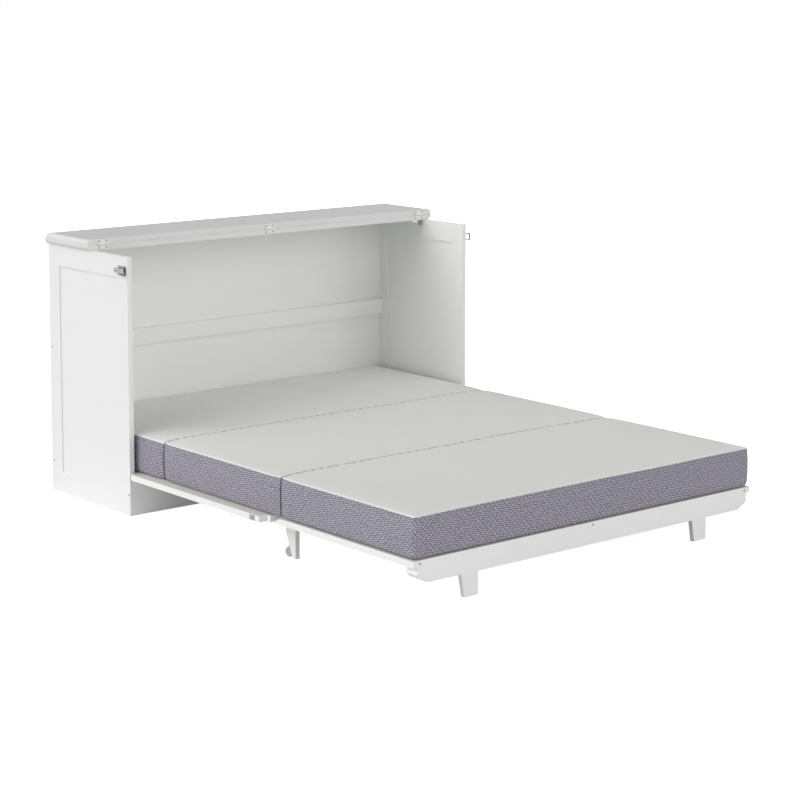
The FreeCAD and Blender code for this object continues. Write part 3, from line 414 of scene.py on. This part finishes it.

# ---- mattress -------------------------------------------------------------------------------
# Three foam sections in knitted covers: a cream top and a purple-grey woven border with small
# stars. Each is slightly crowned and gathered along its seams, where the top has a sewn edge
# whose grey is partly its own colour and partly painted shade of the crease, and its upper
# edges are crisp.

STAR_PITCH = 0.0205
star_cloth, star_in, star_out = node_group(
    "star_weave", [("Ground", "NodeSocketColor", (0.2, 0.2, 0.2, 1)),
                   ("Star", "NodeSocketColor", (0.5, 0.5, 0.5, 1)),
                   ("Dark", "NodeSocketColor", (0.1, 0.1, 0.1, 1)),
                   ("Dash", "NodeSocketColor", (0.8, 0.8, 0.8, 1))],
    [("Color", "NodeSocketColor"), ("Height", "NodeSocketFloat")])
star_place = star_cloth.nodes.new("ShaderNodeUVMap")
star_place.uv_map = "cloth"
star_split = star_cloth.nodes.new("ShaderNodeSeparateXYZ")
star_cloth.links.new(star_place.outputs[0], star_split.inputs[0])


def within_cell(axis, offset, repeats=1.0, lean=0.0):
    """How far a point is from the middle of its cell of the weave, from 0 to 0.5."""
    leaning = number(star_cloth, "MULTIPLY", star_split.outputs["Y" if axis == "X" else "X"],
                     lean)
    along = number(star_cloth, "ADD", star_split.outputs[axis], leaning)
    cells = number(star_cloth, "ADD",
                   number(star_cloth, "MULTIPLY", along, repeats / STAR_PITCH), offset)
    return number(star_cloth, "ABSOLUTE",
                  number(star_cloth, "SUBTRACT", number(star_cloth, "FRACT", cells), 0.5))


def fade(value, low, high):
    """1 below low, 0 above high, and a ramp between."""
    node = star_cloth.nodes.new("ShaderNodeMapRange")
    node.inputs["From Min"].default_value = low
    node.inputs["From Max"].default_value = high
    node.inputs["To Min"].default_value = 1
    node.inputs["To Max"].default_value = 0
    star_cloth.links.new(value, node.inputs["Value"])
    return node.outputs[0]


def star_field(offset):
    """Four-pointed stars on a square lattice."""
    point_sharpness, core, tip = 0.6, 0.62, 0.80
    reach = number(star_cloth, "ADD",
                   number(star_cloth, "POWER", within_cell("X", offset), point_sharpness),
                   number(star_cloth, "POWER", within_cell("Y", offset), point_sharpness))
    return fade(reach, core, tip)


def dash_field(offset, half_length, half_height):
    """Short floats of yarn in slanting rows, two and three to a star each way."""
    return number(star_cloth, "MULTIPLY",
                  fade(within_cell("X", offset, 2.0, 0.75), half_length, half_length + 0.08),
                  fade(within_cell("Y", offset, 3.0, 0.25), half_height, half_height + 0.12))


SLUB_SCALE, THREAD_SCALE, THREAD_SHARE = 170.0, 700.0, 0.7
stars = number(star_cloth, "MAXIMUM", star_field(0.0), star_field(0.5))
slubs = mottle(star_cloth, star_place.outputs[0], SLUB_SCALE, detail=1.0)
dark_floats = number(star_cloth, "MULTIPLY", dash_field(0.25, 0.24, 0.16),
                     fade(slubs, 0.44, 0.62))
light_floats = number(star_cloth, "MULTIPLY", dash_field(0.75, 0.20, 0.12),
                      number(star_cloth, "SUBTRACT", 1.0, fade(slubs, 0.36, 0.52)))
threads = mottle(star_cloth, star_place.outputs[0], THREAD_SCALE, detail=2.0)
woven = blend(star_cloth, stars, star_in.outputs["Ground"], star_in.outputs["Star"])
woven = blend(star_cloth, dark_floats, woven, star_in.outputs["Dark"])
woven = blend(star_cloth, light_floats, woven, star_in.outputs["Dash"])
star_cloth.links.new(
    shade(star_cloth, woven,
          number(star_cloth, "ADD",
                 number(star_cloth, "MULTIPLY", threads, THREAD_SHARE), 1 - THREAD_SHARE / 2)),
    star_out.inputs["Color"])
star_cloth.links.new(
    number(star_cloth, "ADD",
           number(star_cloth, "SUBTRACT", number(star_cloth, "ADD", stars, light_floats),
                  dark_floats),
           number(star_cloth, "MULTIPLY", threads, 0.6)), star_out.inputs["Height"])

border_cloth, border_skin, border_nodes, border_links = shader("woven_border")
border_weave = border_nodes.new("ShaderNodeGroup")
border_weave.node_tree = star_cloth
border_weave.inputs["Ground"].default_value = (0.155, 0.143, 0.187, 1)
border_weave.inputs["Star"].default_value = (0.352, 0.338, 0.409, 1)
border_weave.inputs["Dark"].default_value = (0.036, 0.030, 0.050, 1)
border_weave.inputs["Dash"].default_value = (0.62, 0.61, 0.66, 1)
border_bump = border_nodes.new("ShaderNodeBump")
border_bump.inputs["Strength"].default_value = 0.5
border_bump.inputs["Distance"].default_value = 0.0006
border_links.new(border_weave.outputs["Color"], border_skin.inputs["Base Color"])
border_links.new(border_weave.outputs["Height"], border_bump.inputs["Height"])
border_links.new(border_bump.outputs[0], border_skin.inputs["Normal"])
border_skin.inputs["Roughness"].default_value = 0.85
border_skin.inputs["Sheen Weight"].default_value = 0.15

DARK_CREAM, LIGHT_CREAM = (0.745, 0.75, 0.715), (0.82, 0.83, 0.79)
top_cloth, top_skin, top_nodes, top_links = shader("knitted_top")
top_place = top_nodes.new("ShaderNodeUVMap")
top_place.uv_map = "cloth"
knit = mottle(top_cloth.node_tree, top_place.outputs[0], 520.0, (1, 1.6, 1), 2.0)
patches = mottle(top_cloth.node_tree, top_place.outputs[0], 7.0, detail=4.0)
top_share = number(top_cloth.node_tree, "ADD",
                   number(top_cloth.node_tree, "MULTIPLY", knit, 0.6),
                   number(top_cloth.node_tree, "MULTIPLY", patches, 0.4))
top_links.new(blend(top_cloth.node_tree, top_share, DARK_CREAM, LIGHT_CREAM),
              top_skin.inputs["Base Color"])
top_skin.inputs["Roughness"].default_value = 0.9
top_skin.inputs["Sheen Weight"].default_value = 0.2
top_bump = top_nodes.new("ShaderNodeBump")
top_bump.inputs["Strength"].default_value = 0.4
top_bump.inputs["Distance"].default_value = 0.0005
top_links.new(knit, top_bump.inputs["Height"])
top_links.new(top_bump.outputs[0], top_skin.inputs["Normal"])

# The seams' sewn edge: a grey that is partly the edge's own colour and partly painted shade
# standing in for the crease.
sewn_edge_and_shade, sewn_edge_and_shade_skin, _, _ = shader("seam_thread_and_painted_shade")
sewn_edge_and_shade_skin.inputs["Base Color"].default_value = (0.45, 0.446, 0.436, 1)
sewn_edge_and_shade_skin.inputs["Roughness"].default_value = 0.95

FOAM_STEPS = (200, 84, 16)
EVEN_SHARE = 0.35
PLAN_ROUND_END = 0.010
PLAN_ROUND_SEAM = 0.005
EDGE_ROUND = 0.007
LOW_ROUND = 0.015
CROWN = 0.004
ROLL, ROLL_WIDTH = 0.0075, 0.030
SEAM_DIP, SEAM_DIP_WIDTH = 0.0028, 0.012
SEAM_SAG, SEAM_SAG_WIDTH = 0.002, 0.07
SEAM_DRAW, SEAM_DRAW_WIDTH = 0.006, 0.03
SEAM_GAP = 0.0035
SIDE_BULGE = 0.003
END_WIDTH = 0.004
GATHER, GATHER_WIDTH, STITCHED_WIDTH = 0.0024, 0.022, 0.006
RIPPLE = 0.0009
FAR_FROM_ALL = 9.0


def foam_grid(steps):
    """The lattice points and quads of a box's surface, with each quad's facing axis."""
    index, points, quads, facing = {}, [], [], []
    for axis in range(3):
        side, up = (axis + 1) % 3, (axis + 2) % 3
        for end in (0, steps[axis]):
            for first in range(steps[side]):
                for second in range(steps[up]):
                    quad = []
                    for move in ((0, 0), (1, 0), (1, 1), (0, 1)):
                        spot = [0, 0, 0]
                        spot[axis], spot[side], spot[up] = end, first + move[0], second + move[1]
                        key = tuple(spot)
                        if key not in index:
                            index[key] = len(points)
                            points.append(key)
                        quad.append(index[key])
                    quads.append(quad if end else quad[::-1])
                    facing.append((axis, 1 if end else -1))
    return np.array(points, float), quads, facing


def rounded(spots, low, high, rounding, axes):
    """Points of a box with its edges rounded in the plane of two axes."""
    spots = spots.copy()
    inner = np.clip(spots[:, axes], (low[axes] + rounding), (high[axes] - rounding))
    out = spots[:, axes] - inner
    reach = np.linalg.norm(out, axis=1, keepdims=True)
    corner = (np.abs(out) > 1e-9).all(axis=1)
    limit = np.abs(out).max(axis=1, keepdims=True)
    spots[corner[:, None] & np.isin(np.arange(3), axes)[None, :]] = (
        inner + out * limit / np.maximum(reach, 1e-9))[corner].ravel()
    return spots


def rounded_box(lattice, low, high, head_seam, foot_seam):
    """The lattice laid over a box with crisp upper and softer lower edges."""
    share = lattice / np.array(FOAM_STEPS)
    ease = 0.5 - 0.5 * np.cos(math.pi * share)
    spots = low + (EVEN_SHARE * share + (1 - EVEN_SHARE) * ease) * (high - low)
    middle = (low[1] + high[1]) / 2
    for is_head, seam in ((True, head_seam), (False, foot_seam)):
        half = spots[:, 1] > middle if is_head else spots[:, 1] <= middle
        reach = PLAN_ROUND_SEAM if seam else PLAN_ROUND_END
        spots[half] = rounded(spots, low, high, reach, [0, 1])[half]
    upper = spots[:, 2] > (low[2] + high[2]) / 2
    for side in (0, 1):
        crisp = rounded(spots, low, high, EDGE_ROUND, [side, 2])
        soft = rounded(spots, low, high, LOW_ROUND, [side, 2])
        spots = np.where(upper[:, None], crisp, soft)
    return spots


def filled_cover(spots, low, high, head_seam, foot_seam):
    """Crowns the top, rolls its rim, gathers it at the seams and lets the sides bulge."""
    half_width = (high[0] - low[0]) / 2
    across = spots[:, 0] / half_width
    height = np.clip((spots[:, 2] - low[2]) / (high[2] - low[2]), 0, 1)
    lengthwise = (spots[:, 1] - low[1]) / (high[1] - low[1])
    ends = ((high[1] - spots[:, 1], head_seam, 1), (spots[:, 1] - low[1], foot_seam, -1))
    seams = [distance for distance, is_seam, _ in ends if is_seam]

    dip, draw, gathers = (np.zeros(len(spots)) for _ in range(3))
    waver = spots[:, 0] + 0.012 * np.sin(31 * spots[:, 0] + 2 * high[1])
    for distance in seams:
        dip += (SEAM_DIP * (1 - 0.6 * np.abs(across) ** 12)
                * np.exp(-(distance / SEAM_DIP_WIDTH) ** 2)
                + SEAM_SAG * np.exp(-distance / SEAM_SAG_WIDTH))
        draw += SEAM_DRAW * np.exp(-(distance / SEAM_DRAW_WIDTH) ** 2)
        gathers += GATHER * (np.exp(-distance / GATHER_WIDTH)
                             - np.exp(-distance / STITCHED_WIDTH)) * (
            np.sin(150 * waver + 40 * distance) + 0.6 * np.sin(251 * waver + 1.7))

    rim = half_width - np.abs(spots[:, 0])
    for distance, is_seam, _ in ends:
        rim = np.minimum(rim, FAR_FROM_ALL if is_seam else distance)
    roll = ROLL * np.exp(-np.clip(rim, 0, None) / ROLL_WIDTH)
    crown = CROWN * (1 - np.abs(across) ** 2.4) * (1 - np.abs(2 * lengthwise - 1) ** 4 * 0.5)
    ripple = RIPPLE * (np.sin(9 * spots[:, 0] + 5 * spots[:, 1])
                       + np.sin(14 * spots[:, 1] - 6 * spots[:, 0] + 1.3))
    topness = height ** 3
    spots[:, 2] += topness * (crown - roll - dip + gathers + ripple * (1 - across ** 4))

    belly = SIDE_BULGE * np.sin(math.pi * height)
    for distance, is_seam, outward in ends:
        push = -SEAM_GAP * (1 - 0.5 * height ** 6) if is_seam else belly
        spots[:, 1] += outward * push * np.exp(-distance / END_WIDTH)
    spots[:, 0] += np.sign(across) * (belly - draw) * np.abs(across) ** 20
    return spots


def foam_section(place, head_seam, foot_seam):
    """A crowned section of foam in its cover, drawn in at the ends that are seams."""
    low, high = (np.array(corner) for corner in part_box(f"mattress_{place}"))
    high = high - (0, 0, CROWN)
    lattice, quads, facing = foam_grid(FOAM_STEPS)
    spots = rounded_box(lattice, low, high, head_seam, foot_seam)
    spots = filled_cover(spots, low, high, head_seam, foot_seam)

    mesh = bpy.data.meshes.new(f"foam_{place}")
    mesh.from_pydata(spots.tolist(), [], quads)
    for cloth in (border_cloth, top_cloth, sewn_edge_and_shade):
        mesh.materials.append(cloth)
    cut = mesh.uv_layers.new(name="cloth")
    for face, (axis, end), quad in zip(mesh.polygons, facing, quads):
        rows = [lattice[corner][1] for corner in quad]
        at_seam = (head_seam and max(rows) == FOAM_STEPS[1]) or (foot_seam and min(rows) == 0)
        highest_row = min(lattice[corner][2] for corner in quad) >= FOAM_STEPS[2] - 1
        in_top = highest_row and (axis != 2 or end > 0)
        # The top row at each seam wears the grey sewn edge, partly painted crease shade.
        face.material_index = 2 if in_top and at_seam and axis != 0 else int(in_top)
        face.use_smooth = True
        for corner in face.loop_indices:
            x, y, z = spots[mesh.loops[corner].vertex_index]
            cut.data[corner].uv = {0: (y, z), 1: (x, z), 2: (x, y)}[axis]
    section = bpy.data.objects.new(f"foam_{place}", mesh)
    bpy.context.collection.objects.link(section)
    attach(section, f"mattress_{place}")
    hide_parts(f"mattress_{place}")


for place, head_seam, foot_seam in (("head", False, True), ("middle", True, True),
                                    ("foot", True, False)):
    foam_section(place, head_seam, foot_seam)
